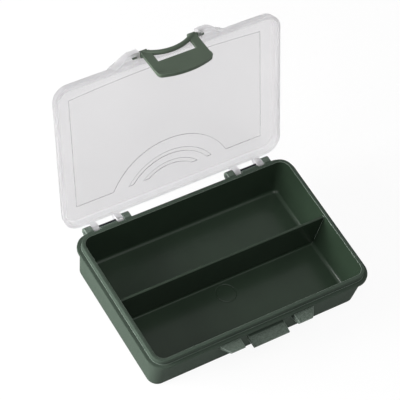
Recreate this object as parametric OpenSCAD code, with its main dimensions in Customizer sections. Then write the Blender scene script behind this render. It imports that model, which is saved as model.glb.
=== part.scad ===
// Small two-compartment tackle box: a moulded tray, a frosted lid on two pinned
// hinges and a swinging latch. X runs along the width, the hinges are at +Y,
// the latch is at -Y, and the tray stands on Z = 0. The lid is drawn open.

/* [Box] */
// Width of the closed box, side to side
box_w = 105; // [90:1:140]
// Depth of the closed box, hinge side to latch side
box_d = 69.5; // [60:0.5:100]
// Height of the closed box
box_h = 21.6; // [20:0.1:34]
// Plan radius of the box corners
corner_r = 7.3; // [6.8:0.1:10]

/* [Tray] */
// Thickness of the tray floor
floor_t = 1.6; // [1.2:0.1:2.4]
// Height of the rim that the lid closes over
rim_h = 2.5; // [2:0.1:3]
// Thickness of the rim wall
rim_t = 1.4; // [1.2:0.1:1.8]
// Thickness of the flange below the rim
flange_t = 1.4; // [1:0.1:2]
// Radius of the flange's edges
flange_edge = 0.3; // [0.2:0.05:0.45]
// How far the outer wall stands back from the flange edge
wall_back = 1.3; // [0.8:0.1:1.6]
// Draft of the tray walls outside, from the flange to the foot
wall_draft = 1.5; // [0.4:0.05:1.6]
// Draft of the tray walls inside, from the rim to the floor
inner_draft = 2; // [1.4:0.05:2.2]
// Radius of the outer bottom edge
foot_r = 0.9; // [0.6:0.1:1.5]
// Radius between the walls and the floor inside
floor_r = 1.6; // [1:0.1:1.8]
// Thickness of the divider at its top
divider_t = 1.2; // [1:0.1:2]
// Growth of the divider's thickness down to the floor
divider_draft = 0.6; // [0.4:0.1:1]
// How far the divider's top lies below the rim
divider_drop = 1; // [0.6:0.1:3]
// Place of the divider along the depth, from the middle
divider_y = 0; // [-12:0.5:12]
// Diameter of the gate mark on the front floor
gate_d = 9; // [6:0.5:12]

/* [Lid] */
// Thickness of the lid plate
lid_t = 1.2; // [1.2:0.1:1.8]
// Thickness of the lid skirt
skirt_t = 1.4; // [1.1:0.05:1.6]
// Radius of the lid's outer top edge
lid_edge_r = 1.5; // [0.8:0.1:1.8]
// Depth of the moulded relief on the lid plate
relief = 0.35; // [0.2:0.05:0.5]
// Width of the relief panel
panel_w = 89.4; // [76:0.2:92]
// Radius of the arch in the relief panel
arch_r = 30.6; // [26:0.2:34]
// Width of the arch bands
band_w = 1.8; // [1:0.1:3]

/* [Hinges] */
// Distance of each hinge's middle from the end of the box
hinge_in = 18.15; // [17:0.05:22]
// Distance of the hinge axis behind the flange edge
hinge_out = 1.75; // [1.7:0.05:2.4]
// Radius of ears and knuckles
knuckle_r = 2; // [1.8:0.05:2.1]
// Width of one tray ear
ear_w = 3.3; // [2.5:0.1:4]
// Width of one lid knuckle
knuckle_w = 2.8; // [2:0.1:3.2]
// Width of the saddle between the two knuckles
saddle_w = 8; // [6:0.1:9]
// Diameter of the hinge pins
pin_d = 1.6; // [1.2:0.1:1.8]
// Angle of the open lid in this drawing
lid_open = 109; // [0:1:109]

/* [Latch] */
// Width of the latch plate
latch_w = 25.3; // [22:0.1:28]
// Length of the latch from its pivot to its end
latch_len = 16.5; // [14:0.1:16.5]
// Thickness of the latch plate
latch_t = 1.2; // [1.1:0.1:1.4]
// Distance of the latch pivot in front of the flange edge
pivot_out = 2.15; // [2.1:0.05:3]
// Depth of the latch pivot below the lid's top
pivot_drop = 2.3; // [2.2:0.05:2.4]
// How far the plate's inner face lies in front of the pivot
plate_set = 0.1; // [0:0.05:0.2]
// Radius of the latch barrels
barrel_r = 1.5; // [1.2:0.05:1.6]
// Diameter of the latch trunnions
trunnion_d = 2; // [1.4:0.1:2.1]
// Sag of the curved bar between the barrels
bar_sag = 3.3; // [2:0.1:3.4]
// Radius of the curved bar
bar_r = 1.05; // [0.8:0.05:1.1]
// Tilt of the latch plate towards the box
latch_tilt = 13; // [0:0.5:13]
// Bow of the latch's end
end_bow = 2.2; // [1:0.1:3]

/* [Catch and flares] */
// Width of the catch that the latch snaps over
catch_w = 17; // [12:0.1:18]
// How far the catch stands out from the flange edge
catch_out = 4.85; // [4:0.05:5]
// Depth of the catch's underside below the latch pivot
catch_drop = 6.5; // [6.2:0.05:6.8]
// Thickness of the catch's lip
catch_lip = 0.95; // [0.8:0.05:1.2]
// How far the lid's flares beside the latch stand out
flare_out = 4.3; // [4.2:0.1:5]
// Length of each of the lid's flares along the box
flare_len = 12.9; // [10:0.1:16]
// Gap between the latch barrels and the lid's flares
flare_gap = 1; // [0.5:0.05:1.2]
// Length of each trunnion beyond the latch
trunnion_len = 3.6; // [2.5:0.1:4]
// How far the tray's flares stand out
tray_flare_out = 4.5; // [3.5:0.1:4.8]
// Length of each of the tray's flares along the box
tray_flare_len = 11.2; // [8:0.1:14]
// Distance of the tray's flares from the catch
tray_flare_gap = 4.5; // [2:0.1:6]
// Depth of the tray's flares below the flange
flare_deep = 3.2; // [2.5:0.1:3.6]

/* [Clearances] */
// Gap between the lid and the tray where they close
lid_gap = 0.3; // [0.25:0.05:0.5]
// Gap between the rim's top and the lid plate
plate_gap = 0.4; // [0.3:0.05:1]
// Radial gap of a pin in the lid's knuckles
pin_run = 0.06; // [0.03:0.01:0.1]
// Radial gap of a pin in the tray's ears
pin_hold = 0.02; // [0.01:0.01:0.03]
// Radial gap of a latch trunnion in its hole
trunnion_run = 0.06; // [0.03:0.01:0.1]
// Gap between sliding side faces
side_gap = 0.2; // [0.15:0.05:0.4]
// Gap between the latch and what it swings past
latch_gap = 0.35; // [0.3:0.05:0.5]

/* [Hidden] */
$fn = 64;
FINE = 360;
GREEN = "#3c4c41";
LATCH_GREEN = "#4e5b4d";
FROST = "#dcdbe0";
STEEL = "#4a4e54";

edge_y = box_d / 2;
plate_z = box_h - lid_t;
rim_top = plate_z - plate_gap;
ledge_z = rim_top - rim_h;
flange_z = ledge_z - flange_t;
skirt_z = ledge_z + lid_gap;
rim_back = skirt_t + lid_gap;
hinge_x = box_w / 2 - hinge_in;
hinge_y = edge_y + hinge_out;
hinge_z = ledge_z - knuckle_r;
pin_r = pin_d / 2;
ear_x = saddle_w / 2 + 2 * side_gap + knuckle_w + side_gap / 4;
pivot_y = -edge_y - pivot_out;
pivot_z = box_h - pivot_drop;
window_s = sqrt(pow(catch_out - pivot_out, 2) + pow(catch_drop, 2)) + latch_gap * 0.7;
window_w = catch_w + 2 * latch_gap;
flare_x = latch_w / 2 + flare_gap;
tray_flare_x = catch_w / 2 + tray_flare_gap;
divider_in = (rim_back + rim_t + wall_back + wall_draft) / 2;
rim_edge = 0.4;
embed = 0.7;

// Outer plan radius at a distance in from the box outline
function plan_r(back) = corner_r - back;

// A 2D profile, drawn as distance from the corner centre and height, swept
// round the box outline
module round_sweep(w, d, r) {
    run_x = w - 2 * r;
    run_y = d - 2 * r;
    for (i = [0:3]) {
        run = i % 2 == 0 ? run_x : run_y;
        translate([(i == 0 || i == 3 ? 1 : -1) * run_x / 2, (i < 2 ? 1 : -1) * run_y / 2, 0])
            rotate([0, 0, 90 * i]) {
                rotate_extrude(angle = 90) children();
                rotate([0, 0, 90]) translate([0, run, 0])
                    rotate([90, 0, 0]) linear_extrude(run) children();
            }
    }
}

// The slab that fills the middle of a swept outline
module round_core(w, d, r, z, t) {
    translate([r - w / 2, r - d / 2, z]) cube([w - 2 * r, d - 2 * r, t]);
}

// A 2D profile in depth and height, extruded along the width from x
module along_x(x, length) {
    translate([x, 0, 0]) rotate([90, 0, 90]) linear_extrude(length) children();
}

// A closed solid through cross-sections that have equal numbers of points
module loft(sections) {
    n = len(sections[0]);
    m = len(sections);
    points = [for (section = sections) for (p = section) p];
    sides = [for (k = [0:m - 2]) for (i = [0:n - 1]) each [
        [k * n + i, (k + 1) * n + (i + 1) % n, k * n + (i + 1) % n],
        [k * n + i, (k + 1) * n + i, (k + 1) * n + (i + 1) % n],
    ]];
    bottom = [for (i = [0:n - 1]) i];
    top = [for (i = [n - 1:-1:0]) (m - 1) * n + i];
    polyhedron(points = points, faces = concat(sides, [bottom], [top]), convexity = 4);
}

// Plan of a flare at height z from x: level up to its shoulder, then back into
// the wall behind; reach is how far it stands out there, root is how deep its
// back lies behind the flange edge, and soft turns the slope into an easy curve
function flare_plan(z, x, reach, root, shoulder, end, soft, back = 0) =
    let (curve_y = root * 0.9)
    [
        [x + back, -edge_y + root, z],
        [x + back, -edge_y - reach, z],
        for (i = [0:10])
            let (ease = soft * (1 + cos(18 * i)) / 2 + (1 - soft) * (1 - i / 10))
                [
                    x + shoulder + (end - back - shoulder) * i / 10,
                    -edge_y + curve_y - (reach + curve_y) * ease,
                    z
                ],
        [x + end - back, -edge_y + root, z],
    ];

// Tray ---------------------------------------------------------------------

// Quarter disc that rounds the low outer corner of a section at x, z
module low_round(x, z, r) {
    translate([x - r, z + r]) intersection() {
        circle(r);
        translate([0, -r]) square(r);
    }
}

// Section through the tray's outside
module tray_outside() {
    foot_x = plan_r(wall_back + wall_draft);
    wall_x = plan_r(wall_back);
    rim_x = plan_r(rim_back);
    polygon([
        [0, 0],
        [foot_x - foot_r, 0],
        [foot_x, foot_r],
        [wall_x, flange_z],
        [wall_x, ledge_z],
        [0, ledge_z],
    ]);
    low_round(foot_x, 0, foot_r);
    translate([0, flange_z]) square([corner_r - flange_edge, flange_t]);
    translate([0, flange_z + flange_edge]) square([corner_r, flange_t - 2 * flange_edge]);
    for (z = [flange_z + flange_edge, ledge_z - flange_edge])
        translate([corner_r - flange_edge, z]) circle(flange_edge);
    translate([0, flange_z]) square([rim_x, rim_top - rim_edge - flange_z]);
    translate([0, ledge_z]) square([rim_x - rim_edge, rim_h]);
    translate([rim_x - rim_edge, rim_top - rim_edge]) circle(rim_edge);
}

// Section through the space inside the tray
module tray_inside() {
    top_x = plan_r(rim_back + rim_t);
    low_x = top_x - inner_draft;
    polygon([
        [0, floor_t],
        [low_x - floor_r, floor_t],
        [low_x, floor_t + floor_r],
        [top_x, rim_top + 1],
        [0, rim_top + 1],
    ]);
    low_round(low_x, floor_t, floor_r);
}

// Section through the divider, with a fillet on each side of its foot
module divider_section() {
    top_z = rim_top - divider_drop;
    foot_t = divider_t + divider_draft;
    fillet = floor_r / 2;
    translate([divider_y, 0]) difference() {
        union() {
            polygon([
                [-foot_t / 2, floor_t / 2],
                [foot_t / 2, floor_t / 2],
                [divider_t / 2, top_z - rim_edge],
                [-divider_t / 2, top_z - rim_edge],
            ]);
            translate([-divider_t / 2 + rim_edge, top_z - rim_edge])
                square([divider_t - 2 * rim_edge, rim_edge]);
            for (s = [-1, 1])
                translate([s * (divider_t / 2 - rim_edge), top_z - rim_edge]) circle(rim_edge);
            translate([-foot_t / 2 - fillet, floor_t / 2])
                square([foot_t + 2 * fillet, floor_t / 2 + fillet]);
        }
        for (s = [-1, 1])
            translate([s * (foot_t / 2 + fillet), floor_t + fillet]) circle(fillet);
    }
}

// Section through an ear: a round eye on a bracket that is level with the ledge
// and runs down the wall
module ear_section() {
    difference() {
        union() {
            translate([hinge_y, hinge_z]) circle(knuckle_r);
            polygon([
                [edge_y - wall_back - embed, ledge_z],
                [hinge_y, ledge_z],
                [hinge_y, hinge_z - knuckle_r],
                [edge_y - wall_back - 2 * embed, hinge_z - knuckle_r - 2 * embed],
            ]);
        }
        translate([hinge_y, hinge_z]) circle(pin_r + pin_hold);
    }
}

// Section through the saddle that carries the pin between the knuckles
module saddle_section() {
    back_y = hinge_y - pin_r - lid_gap;
    difference() {
        polygon([
            [edge_y - wall_back - embed, ledge_z - lid_gap / 2],
            [back_y, ledge_z - lid_gap / 2],
            [back_y, hinge_z],
            [hinge_y + pin_r / 2, hinge_z - pin_r],
            [hinge_y, hinge_z - knuckle_r],
            [edge_y - wall_back - 2 * embed, hinge_z - knuckle_r - 2 * embed],
        ]);
        translate([hinge_y, hinge_z]) circle(pin_r + pin_run);
    }
}

// Section through the catch: a shelf that falls to a blunt lip
module catch_section() {
    tip_y = -edge_y - catch_out;
    under_z = pivot_z - catch_drop;
    lip = catch_lip;
    rise = catch_out / 6;
    polygon([
        [-edge_y + wall_back + 2 * embed, under_z],
        [tip_y + lip / 4, under_z],
        [tip_y, under_z + lip / 4],
        [tip_y, under_z + lip * 0.8],
        [tip_y + lip / 4, under_z + lip],
        [-edge_y, under_z + lip + rise],
        [-edge_y + wall_back + 2 * embed, under_z + lip + rise],
    ]);
}

// Flare below the lid's one, with a rounded underside
module tray_flare() {
    top_z = flange_z + flange_t * 0.3;
    shoulder = tray_flare_len * 0.57;
    loft([for (step = [[1, 0.05], [0.75, 0.62], [0.5, 0.86], [0.25, 0.97], [0, 1]])
        flare_plan(top_z - flare_deep * step[0], tray_flare_x, tray_flare_out * step[1],
            wall_back + 2 * embed, shoulder, tray_flare_len, 0.1)]);
}

module base_tray() {
    color(GREEN) difference() {
        union() {
            difference() {
                union() {
                    round_sweep(box_w, box_d, corner_r) difference() {
                        tray_outside();
                        tray_inside();
                    }
                    round_core(box_w, box_d, corner_r, 0, floor_t);
                }
                for (side = [-1, 1]) for (end = [-1, 1])
                    translate([side * hinge_x + end * (ear_x - side_gap - knuckle_w / 2)
                        - knuckle_w / 2 - side_gap, hinge_y, hinge_z])
                        rotate([0, 90, 0]) cylinder(r = notch_r(), h = knuckle_w + 2 * side_gap);
            }
            along_x(divider_in - box_w / 2, box_w - 2 * divider_in) divider_section();
            for (side = [-1, 1]) {
                for (end = [-1, 1])
                    along_x(side * hinge_x + end * (ear_x + ear_w / 2) - ear_w / 2, ear_w)
                        ear_section();
                along_x(side * hinge_x - saddle_w / 2, saddle_w) saddle_section();
            }
            along_x(-catch_w / 2, catch_w) catch_section();
            tray_flare();
            mirror([1, 0, 0]) tray_flare();
        }
        translate([0, -edge_y / 5, floor_t - 0.15]) difference() {
            cylinder(d = gate_d, h = 1);
            translate([0, 0, -1]) cylinder(d = gate_d - 1, h = 3);
        }
    }
}

// Radius cleared in the flange for a knuckle and its web to swing in
function notch_r() = norm([knuckle_r, skirt_z - hinge_z]) + lid_gap;

// Pins ---------------------------------------------------------------------

module hinge_pin(side) {
    length = 2 * (ear_x + ear_w) - 4 * pin_run;
    color(STEEL) translate([side * hinge_x - length / 2, hinge_y, hinge_z])
        rotate([0, 90, 0]) cylinder(r = pin_r, h = length);
}

module hinge_pin_left() {
    hinge_pin(-1);
}

module hinge_pin_right() {
    hinge_pin(1);
}

// Lid ----------------------------------------------------------------------

// Section through the lid's edge
module lid_outside() {
    top_x = plan_r(0.3);
    polygon([
        [0, skirt_z],
        [corner_r, skirt_z],
        [top_x, box_h - lid_edge_r],
        [top_x - lid_edge_r, box_h],
        [0, box_h],
    ]);
    translate([top_x - lid_edge_r, box_h - lid_edge_r]) circle(lid_edge_r);
}

module lid_inside() {
    inner_x = plan_r(skirt_t);
    round_r = plate_gap;
    translate([0, skirt_z - 1]) square([inner_x, plate_z - skirt_z + 1 - round_r]);
    translate([0, skirt_z]) square([inner_x - round_r, plate_z - skirt_z]);
    translate([inner_x - round_r, plate_z - round_r]) circle(round_r);
}

// Plan of the relief: a panel with a slightly bowed front edge and an arch at
// the hinge side that holds two plain bands
module relief_plan() {
    rear_y = edge_y - 8.1;
    front_y = -edge_y + 6.75;
    bow_r = 500;
    arch_y = edge_y + 5.85;
    difference() {
        intersection() {
            translate([-panel_w / 2, front_y]) square([panel_w, rear_y - front_y]);
            translate([0, front_y + bow_r]) circle(bow_r, $fn = 4 * FINE);
        }
        translate([0, arch_y]) circle(arch_r, $fn = FINE);
    }
    intersection() {
        translate([-panel_w / 2, front_y]) square([panel_w, rear_y - front_y]);
        for (r = [arch_r - 6.2, arch_r - 11.4])
            translate([0, arch_y]) difference() {
                circle(r, $fn = FINE);
                circle(r - band_w, $fn = FINE);
            }
    }
}

// Hollow flare that carries one latch trunnion
module lid_flare() {
    full = [for (k = [0:4]) [box_h - 1 + sin(22.5 * k), flare_out - 1 + cos(22.5 * k)]];
    shoulder = flare_len * 0.35;
    wall = 1.2;
    difference() {
        loft([for (level = concat([[skirt_z, flare_out]], full))
            flare_plan(level[0], flare_x, level[1], embed, shoulder, flare_len, 0.5)]);
        translate([0, 0, skirt_z - 1]) linear_extrude(plate_z - skirt_z + 1) intersection() {
            polygon([for (p = flare_plan(0, flare_x, flare_out - wall, embed, shoulder,
                flare_len, 0.5, wall)) [p[0], p[1]]]);
            translate([0, -edge_y - flare_out]) square([box_w / 2, flare_out - 0.2]);
        }
        translate([flare_x - 1, pivot_y, pivot_z]) rotate([0, 90, 0])
            cylinder(d = trunnion_d + 2 * trunnion_run, h = trunnion_len + 1);
    }
}

// Knuckle on a web that stands out from the lid's rear wall
module knuckle_section() {
    difference() {
        union() {
            translate([hinge_y, hinge_z]) circle(knuckle_r);
            polygon([
                [edge_y - embed, skirt_z],
                [hinge_y - knuckle_r, skirt_z],
                [hinge_y - knuckle_r, hinge_z],
                [hinge_y, hinge_z],
                [hinge_y + knuckle_r * sin(30), hinge_z + knuckle_r * cos(30)],
                [edge_y - embed, skirt_z + knuckle_w * 0.85],
            ]);
        }
        translate([hinge_y, hinge_z]) circle(pin_r + pin_run);
    }
}

module lid_closed() {
    difference() {
        union() {
            round_sweep(box_w, box_d, corner_r) difference() {
                lid_outside();
                lid_inside();
            }
            round_core(box_w, box_d, corner_r, plate_z, lid_t);
            for (side = [-1, 1]) for (end = [-1, 1])
                along_x(side * hinge_x + end * (ear_x - side_gap - knuckle_w / 2) - knuckle_w / 2,
                    knuckle_w) knuckle_section();
            lid_flare();
            mirror([1, 0, 0]) lid_flare();
        }
        translate([0, 0, box_h - relief]) linear_extrude(1) relief_plan();
    }
}

module lid() {
    color(FROST) open_lid() lid_closed();
}

// Latch --------------------------------------------------------------------

// Outline of the latch plate, below its pivot line
module latch_outline() {
    half = latch_w / 2;
    bow_r = (half * half + end_bow * end_bow) / (2 * end_bow);
    round_r = 2.2;
    offset(r = round_r) offset(delta = -round_r) intersection() {
        translate([-half, -latch_len]) square([latch_w, latch_len]);
        translate([0, bow_r - latch_len]) circle(bow_r, $fn = FINE);
    }
    translate([-half, -latch_len / 2]) square([latch_w, latch_len / 2]);
}

// The latch hanging straight down from a pivot at the origin
module latch_hanging() {
    chord = latch_w / 2 - 1.5;
    arc_r = (chord * chord + bar_sag * bar_sag) / (2 * bar_sag);
    arc = asin(chord / arc_r);
    barrel_w = 3;
    lip_w = 1.2;
    translate([0, -plate_set, 0]) rotate([90, 0, 0]) linear_extrude(latch_t) difference() {
        latch_outline();
        translate([-window_w / 2, -window_s]) square([window_w, window_s + 1]);
    }
    translate([0, -plate_set - latch_t / 2, 0]) rotate([90, 0, 0])
        linear_extrude(latch_t / 2 + 0.5) difference() {
            latch_outline();
            translate([0, lip_w]) latch_outline();
        }
    for (side = [-1, 1]) {
        translate([side * (latch_w / 2 - barrel_w / 2) - barrel_w / 2, 0, 0])
            rotate([0, 90, 0]) cylinder(r = barrel_r, h = barrel_w);
        translate([side * (latch_w / 2 + (trunnion_len - 1) / 2) - (trunnion_len + 1) / 2, 0, 0])
            rotate([0, 90, 0]) cylinder(d = trunnion_d, h = trunnion_len + 1);
    }
    translate([0, -plate_set - latch_t / 2, arc_r - bar_sag]) rotate([90, 0, 0])
        rotate([0, 0, -90 - arc]) rotate_extrude(angle = 2 * arc)
            translate([arc_r, 0]) circle(bar_r, $fn = 24);
}

module latch() {
    color(LATCH_GREEN) open_lid() translate([0, pivot_y, pivot_z])
        rotate([latch_tilt, 0, 0]) latch_hanging();
}

// Turns what is drawn with the lid closed about the hinge pins
module open_lid() {
    translate([0, hinge_y, hinge_z]) rotate([-lid_open, 0, 0])
        translate([0, -hinge_y, -hinge_z]) children();
}

base_tray();
hinge_pin_left();
hinge_pin_right();
lid();
latch();
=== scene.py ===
# Pocket tackle box, open: moulded green tray and latch, frosted lid, steel hinge pins.
# Lengths in the dictionaries are in millimetres, in the CAD model's frame.
import bpy
import math
from mathutils import Matrix, Vector

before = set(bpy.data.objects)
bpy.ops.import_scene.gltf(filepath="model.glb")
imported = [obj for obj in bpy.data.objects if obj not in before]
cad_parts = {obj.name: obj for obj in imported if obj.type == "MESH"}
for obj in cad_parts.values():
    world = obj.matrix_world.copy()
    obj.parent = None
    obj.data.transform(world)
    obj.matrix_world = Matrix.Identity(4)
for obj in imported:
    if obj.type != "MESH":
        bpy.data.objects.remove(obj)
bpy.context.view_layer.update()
mm = 0.001


def srgb(hexColour):  # "#rrggbb" as written to the linear values that nodes want
    values = [int(hexColour[i:i + 2], 16) / 255 for i in (1, 3, 5)]
    linear = [v / 12.92 if v <= 0.04045 else ((v + 0.055) / 1.055) ** 2.4 for v in values]
    return (*linear, 1.0)


# In the node functions, an output of a node is written as (node, output).

def addNode(tree, kind, links=(), **settings):
    # settings name sockets by their label or properties by their name; links join
    # an output of another node to an input of this one
    node = tree.nodes.new(kind)
    for name, value in settings.items():
        if hasattr(node, name):
            setattr(node, name, value)
        else:
            node.inputs[name.replace("_", " ")].default_value = value
    for (source, output), target in links:
        tree.links.new(source.outputs[output], node.inputs[target])
    return node


def feed(tree, socket, value):
    # the value is a hex colour, an output of a node, or what the socket itself holds
    if isinstance(value, str):
        socket.default_value = srgb(value)
    elif isinstance(value, tuple):
        tree.links.new(value[0].outputs[value[1]], socket)
    else:
        socket.default_value = value


def addMath(tree, operation, first, second=0.0):
    node = addNode(tree, "ShaderNodeMath", operation=operation)
    feed(tree, node.inputs[0], first)
    feed(tree, node.inputs[1], second)
    return node, "Value"


def addVectorMath(tree, operation, first, second=None):
    node = addNode(tree, "ShaderNodeVectorMath", operation=operation)
    feed(tree, node.inputs[0], first)
    if second is not None:
        feed(tree, node.inputs[1], second)
    return node, "Value" if operation in ("LENGTH", "DOT_PRODUCT") else "Vector"


def remap(tree, value, fromRange=(0, 1), toRange=(0, 1)):
    node = addNode(tree, "ShaderNodeMapRange", [(value, "Value")],
                   From_Min=fromRange[0], From_Max=fromRange[1],
                   To_Min=toRange[0], To_Max=toRange[1])
    return node, "Result"


def blendColours(tree, factor, first, second):
    mix = addNode(tree, "ShaderNodeMix", [(factor, "Factor")], data_type="RGBA")
    feed(tree, mix.inputs[6], first)  # A and B of a colour mix
    feed(tree, mix.inputs[7], second)
    return mix, 2


def blendNumbers(tree, factor, first, second):
    mix = addNode(tree, "ShaderNodeMix", [(factor, "Factor")])
    feed(tree, mix.inputs[2], first)  # A and B of a number mix
    feed(tree, mix.inputs[3], second)
    return mix, 0


def addNoise(tree, place, size, detail, roughness):  # size of the patches in millimetres
    noise = addNode(tree, "ShaderNodeTexNoise", [(place, "Vector")],
                    Scale=1 / (size * mm), Detail=detail, Roughness=roughness)
    return noise, "Fac"


def splitPlace(tree, place):
    return addNode(tree, "ShaderNodeSeparateXYZ", [(place, "Vector")])


def newMaterial(name):
    # gives the place on the object too, which every pattern follows
    material = bpy.data.materials.new(name)
    material.use_nodes = True
    tree = material.node_tree
    tree.nodes.clear()
    return material, tree, (addNode(tree, "ShaderNodeTexCoord"), "Object")


def finishMaterial(tree, shader):
    addNode(tree, "ShaderNodeOutputMaterial", [(shader, "Surface")])


# Masks that the plastics share.
# The cosine between a face's normal and its rounded normal, where an edge starts to
# take its painted colour and where it takes it in full: wear and a painted highlight
# on the green plastics, a painted shade line on the lid.
edgeTurn = (0.995, 0.82)


def edgeMask(tree, width):
    # one along the sharp edges, within a width in millimetres, where the moulding is
    # rounded; there the green plastics get wear and a painted highlight, the lid a
    # painted shade line; gives the rounded normal too
    rounded = addNode(tree, "ShaderNodeBevel", samples=8, Radius=width * mm), "Normal"
    surface = addNode(tree, "ShaderNodeNewGeometry"), "Normal"
    turn = addVectorMath(tree, "DOT_PRODUCT", rounded, surface)
    return rounded, remap(tree, turn, fromRange=edgeTurn)


def openingMask(tree, place, look):
    # one inside a rounded rectangle in plan and above a height: the tray's opening,
    # or the flat of the lid's plate
    straight = [(half - look["corner"]) * mm for half in look["opening"]]
    flat = addVectorMath(tree, "MULTIPLY", place, [1, 1, 0])
    folded = addVectorMath(tree, "ABSOLUTE", flat)
    beyond = addVectorMath(tree, "SUBTRACT", folded, [*straight, 0])
    outer = addVectorMath(tree, "MAXIMUM", beyond, [0, 0, 0])
    far = addVectorMath(tree, "LENGTH", outer)
    within = addMath(tree, "LESS_THAN", far, look["corner"] * mm)
    height = splitPlace(tree, place), "Z"
    above = addMath(tree, "GREATER_THAN", height, look["floor"] * mm)
    return addMath(tree, "MULTIPLY", within, above)


# Tray and latch

trayPlastic = {
    "colour": "#303b32", "worn": "#3b463d", "roughness": 0.9, "ior": 1.3,
    "mottle": 14, "grain": 0.35, "grainStrength": 1.0,
    # pale along the sharp edges above a height: partly rubbed wear, partly a painted highlight
    "edge": "#95a298", "edgeWidth": 0.26, "paleEdgesAbove": 4,
    # inside the opening, which is half its width and depth
    "inside": "#212c22", "insideWorn": "#29362a", "insideRoughness": 0.24,
    "opening": (49.55, 31.8), "corner": 4.35, "floor": 1.2,
    # pale speckles, partly scuffs and partly a painted sheen, on what stands out past the
    # rim, so far from the middle of the depth
    "scuffAndSheen": "#5e6860", "scuffAndSheenSpeckle": 0.45, "scuffAndSheenBeyond": 35.0,
    "scuffAndSheenSpread": (0.3, 0.6),
}
latchPlastic = {
    "colour": "#3f4a3e", "worn": "#495548", "roughness": 0.5, "ior": 1.35,
    "mottle": 9, "grain": 0.35, "grainStrength": 0.7,
    # pale along the sharp edges: partly rubbed wear, partly a painted highlight
    "edge": "#5a6657", "edgeWidth": 0.18,
}
mouldedSkin = {"roughnessSpread": (-0.05, 0.06), "grainDepth": 0.06}


def scuffsAndSheen(tree, place, look):
    # what stands out past the rim, catch and ears, is speckled pale: partly by handling,
    # partly a painted sheen where these parts catch the light
    outward = addMath(tree, "ABSOLUTE", (splitPlace(tree, place), "Y"))
    past = addMath(tree, "GREATER_THAN", outward, look["scuffAndSheenBeyond"] * mm)
    speckle = addNoise(tree, place, look["scuffAndSheenSpeckle"], detail=2, roughness=0.7)
    spots = remap(tree, speckle, fromRange=look["scuffAndSheenSpread"])
    return addMath(tree, "MULTIPLY", past, spots)


def polypropylene(name, look):
    # injection moulded polypropylene: a waxy satin skin with the fine spark grain
    # of the mould, slightly paler where the melt front cooled; a tray's inside
    # comes off a polished core, darker and glossier
    material, tree, place = newMaterial(name)
    mottle = addNoise(tree, place, look["mottle"], detail=3, roughness=0.55)
    skinColour = blendColours(tree, mottle, look["colour"], look["worn"])
    spread = [look["roughness"] + shift for shift in mouldedSkin["roughnessSpread"]]
    rough = remap(tree, mottle, toRange=spread)
    grainStrength = look["grainStrength"]
    if "scuffAndSheen" in look:
        # scuff speckles, partly a painted sheen, on the catch and ears
        skinColour = blendColours(tree, scuffsAndSheen(tree, place, look), skinColour, look["scuffAndSheen"])
    if "inside" in look:
        polished = openingMask(tree, place, look)
        core = blendColours(tree, mottle, look["inside"], look["insideWorn"])
        skinColour = blendColours(tree, polished, skinColour, core)
        rough = blendNumbers(tree, polished, rough, look["insideRoughness"])
        grainStrength = addMath(tree, "SUBTRACT", grainStrength, polished)
    rounded, wornAndLitEdges = edgeMask(tree, look["edgeWidth"])
    if "paleEdgesAbove" in look:
        height = splitPlace(tree, place), "Z"
        above = addMath(tree, "GREATER_THAN", height, look["paleEdgesAbove"] * mm)
        wornAndLitEdges = addMath(tree, "MULTIPLY", wornAndLitEdges, above)
    # the sharp edges are painted pale: partly rubbed wear, partly a painted highlight
    skinColour = blendColours(tree, wornAndLitEdges, skinColour, look["edge"])
    grain = addNoise(tree, place, look["grain"], detail=2, roughness=0.6)
    bump = addNode(tree, "ShaderNodeBump", [(grain, "Height"), (rounded, "Normal")],
                   Distance=mouldedSkin["grainDepth"] * mm)
    feed(tree, bump.inputs["Strength"], grainStrength)
    links = [(skinColour, "Base Color"), (rough, "Roughness"), ((bump, "Normal"), "Normal")]
    skin = addNode(tree, "ShaderNodeBsdfPrincipled", links, IOR=look["ior"])
    finishMaterial(tree, (skin, "BSDF"))
    return material


# Lid

lidPlastic = {
    "colour": "#ebeaeb", "cloud": "#dfdee0", "mottle": 34, "ior": 1.22, "clear": 0.94,
    "roughness": 0.58, "grain": 0.25, "grainStrength": 0.05, "grainDepth": 0.05,
    # the closed lid's frame: the photographed angle and the hinge it opens about
    "openAngle": 109, "hinge": (0, 36.5, 15.5),
    # the flat of the plate, which is half its width and depth, above a height
    "plateRoughness": 0.2, "opening": (50.4, 32.8), "corner": 5.2, "floor": 20.3,
    # the sunk panel; the fades are heights from its face, where a look sets in
    "panel": "#e2e1e2", "outerFace": 21.6, "reliefDepth": 0.35,
    "faceFade": (-0.2, -0.1), "panelFade": (0.25, 0.1),
    # the relief's edges are painted dark: a painted shade line
    "edge": "#6b696c", "edgeWidth": 0.26,
    # the knuckles lie behind the lid's back edge
    "backEdge": 34.9, "knuckleClear": 0.5,
}


def closedPlace(tree, place, look):
    # the pattern is turned back about the hinge, as if the lid were closed
    angle = math.radians(look["openAngle"])
    turn = Matrix.Rotation(angle, 3, "X")
    hinge = Vector(look["hinge"]) * mm
    return addNode(tree, "ShaderNodeMapping", [(place, "Vector")],
                   Location=hinge - turn @ hinge, Rotation=(angle, 0, 0)), "Vector"


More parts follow.
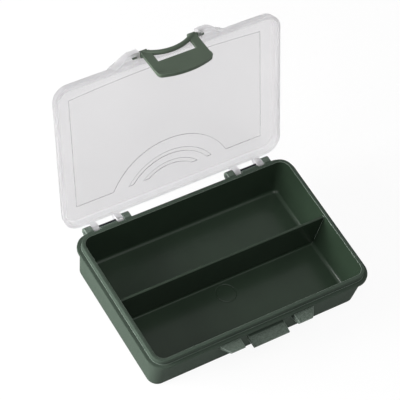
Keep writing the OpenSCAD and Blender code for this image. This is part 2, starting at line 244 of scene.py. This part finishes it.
def frostedPolypropylene(name, look):
    # natural polypropylene, frosted on the mould side: it scatters what passes and
    # shows a milky grey where it is thick
    material, tree, place = newMaterial(name)
    closed = closedPlace(tree, place, look)
    parts = splitPlace(tree, closed)
    panelFace = look["outerFace"] - look["reliefDepth"]
    faceHeights = [(panelFace + fade) * mm for fade in look["faceFade"]]
    panelHeights = [(panelFace + fade) * mm for fade in look["panelFade"]]
    onFace = remap(tree, (parts, "Z"), fromRange=faceHeights)
    belowRim = remap(tree, (parts, "Z"), fromRange=panelHeights)
    sunk = addMath(tree, "MULTIPLY", onFace, belowRim)
    rounded, turned = edgeMask(tree, look["edgeWidth"])
    reliefShadeLine = addMath(tree, "MULTIPLY", turned, onFace)
    cloud = addNoise(tree, place, look["mottle"], detail=2, roughness=0.5)
    tint = blendColours(tree, cloud, look["colour"], look["cloud"])
    tint = blendColours(tree, sunk, tint, look["panel"])
    # a painted shade line along the relief's edges
    tint = blendColours(tree, reliefShadeLine, tint, look["edge"])
    plate = openingMask(tree, closed, look)
    rough = blendNumbers(tree, plate, look["roughness"], look["plateRoughness"])
    # solid and thick, so milkier
    knuckle = addMath(tree, "GREATER_THAN", (parts, "Y"), look["backEdge"] * mm)
    clear = blendNumbers(tree, knuckle, look["clear"], look["knuckleClear"])
    grain = addNoise(tree, place, look["grain"], detail=2, roughness=0.6)
    bump = addNode(tree, "ShaderNodeBump", [(grain, "Height"), (rounded, "Normal")],
                   Strength=look["grainStrength"], Distance=look["grainDepth"] * mm)
    links = [(tint, "Base Color"), (rough, "Roughness"), ((bump, "Normal"), "Normal"),
             (clear, "Transmission Weight")]
    skin = addNode(tree, "ShaderNodeBsdfPrincipled", links, IOR=look["ior"])
    finishMaterial(tree, (skin, "BSDF"))
    return material


# Hinge pins

pinSteel = {"colour": "#24262a", "roughness": 0.4, "roughnessSpread": (-0.08, 0.1),
            "draw": 0.08, "drawStretch": 50}


def drawnSteel(name, look):
    # bright drawn wire, dulled: fine lines run along the pin
    material, tree, place = newMaterial(name)
    stretch = addNode(tree, "ShaderNodeMapping", [(place, "Vector")],
                      Scale=(1 / look["drawStretch"], 1, 1)), "Vector"
    lines = addNoise(tree, stretch, look["draw"], detail=3, roughness=0.5)
    spread = [look["roughness"] + shift for shift in look["roughnessSpread"]]
    gloss = remap(tree, lines, toRange=spread)
    skin = addNode(tree, "ShaderNodeBsdfPrincipled", [(gloss, "Roughness")],
                   Base_Color=srgb(look["colour"]), Metallic=1.0)
    finishMaterial(tree, (skin, "BSDF"))
    return material


steel = drawnSteel("drawn steel wire", pinSteel)
finishes = {
    "base_tray": polypropylene("moulded green polypropylene", trayPlastic),
    "latch": polypropylene("moulded grey green polypropylene", latchPlastic),
    "lid": frostedPolypropylene("frosted polypropylene", lidPlastic),
    "hinge_pin_left": steel,
    "hinge_pin_right": steel,
}
for nodeName, finish in finishes.items():
    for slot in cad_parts[nodeName].material_slots:
        slot.material = finish
print("materials done")

# Floor, light and camera

# the floor's size and the lamps are in metres, watts and strengths
studio = {"floorSize": 3.0, "floorColour": "#f4f4f4", "world": 0.24, "whiteShare": 0.92}
lamps = {
    "left softbox": {"place": (-0.52, 0.13, 0.17), "aim": (0, 0, 0.03),
                     "size": (0.3, 0.22), "power": 6.8},
    "top softbox": {"place": (-0.10, -0.25, 0.75), "aim": (0, 0, 0.02),
                    "size": (0.6, 0.6), "power": 3.0},
}
# the camera's place, and the directions of its right, up and back
camera = {
    "place": (-324.66, -330.26, 675.07),
    "right": (0.84962, -0.50530, 0.15105),
    "up": (0.33908, 0.74273, 0.57739),
    "back": (-0.40394, -0.43934, 0.80238),
    "lens": 177.0, "sensor": 36.0, "nearest": 10,
}
white = (1, 1, 1, 1)


def seesBackground(tree):
    # one for the rays that show the background: straight, mirrored and seen through
    ray = addNode(tree, "ShaderNodeLightPath")
    seen = addMath(tree, "MAXIMUM", (ray, "Is Camera Ray"), (ray, "Is Glossy Ray"))
    return addMath(tree, "MAXIMUM", seen, (ray, "Is Transmission Ray"))


def mixShaders(tree, factor, first, second):
    mix = addNode(tree, "ShaderNodeMixShader")
    for socket, source in zip(mix.inputs, (factor, first, second)):
        feed(tree, socket, source)
    return mix, "Shader"


def studioFloor():
    # a white sheet: it takes the object's shadow faintly and shows white to the
    # camera, in reflections and through the lid
    material, tree, _ = newMaterial("white paper")
    paper = addNode(tree, "ShaderNodeBsdfDiffuse", Color=srgb(studio["floorColour"])), "BSDF"
    glow = addNode(tree, "ShaderNodeEmission", Color=white, Strength=1.0), "Emission"
    share = addMath(tree, "MULTIPLY", seesBackground(tree), studio["whiteShare"])
    finishMaterial(tree, mixShaders(tree, share, paper, glow))
    half = studio["floorSize"] / 2
    corners = [(-half, -half, 0), (half, -half, 0), (half, half, 0), (-half, half, 0)]
    mesh = bpy.data.meshes.new("paper sheet")
    mesh.from_pydata(corners, [], [(0, 1, 2, 3)])
    mesh.materials.append(material)
    floor = bpy.data.objects.new("paper_sheet", mesh)
    bpy.context.collection.objects.link(floor)


def studioWorld():
    world = bpy.data.worlds.new("studio")
    bpy.context.scene.world = world
    world.use_nodes = True
    tree = world.node_tree
    tree.nodes.clear()
    soft = addNode(tree, "ShaderNodeBackground", Color=white, Strength=studio["world"])
    bright = addNode(tree, "ShaderNodeBackground", Color=white, Strength=1.0)
    sky = mixShaders(tree, seesBackground(tree), (soft, "Background"), (bright, "Background"))
    addNode(tree, "ShaderNodeOutputWorld", [(sky, "Surface")])


def placeLamp(name, setup):
    light = bpy.data.lights.new(name, "AREA")
    light.shape = "RECTANGLE"
    light.size, light.size_y = setup["size"]
    light.energy = setup["power"]
    lamp = bpy.data.objects.new(name, light)
    lamp.location = setup["place"]
    view = Vector(setup["aim"]) - Vector(setup["place"])
    lamp.rotation_euler = view.to_track_quat("-Z", "Y").to_euler()
    bpy.context.collection.objects.link(lamp)


def placeCamera():
    lens = bpy.data.cameras.new("camera")
    lens.lens = camera["lens"]
    lens.sensor_width = camera["sensor"]
    lens.clip_start = camera["nearest"] * mm
    eye = bpy.data.objects.new("camera", lens)
    axes = Matrix([camera["right"], camera["up"], camera["back"]]).transposed()
    eye.matrix_world = Matrix.Translation(Vector(camera["place"]) * mm) @ axes.to_4x4()
    bpy.context.collection.objects.link(eye)
    bpy.context.scene.camera = eye


studioFloor()
studioWorld()
for lampName, lampSetup in lamps.items():
    placeLamp(lampName, lampSetup)
placeCamera()
bpy.context.scene.view_settings.view_transform = "Standard"
print("stage done")
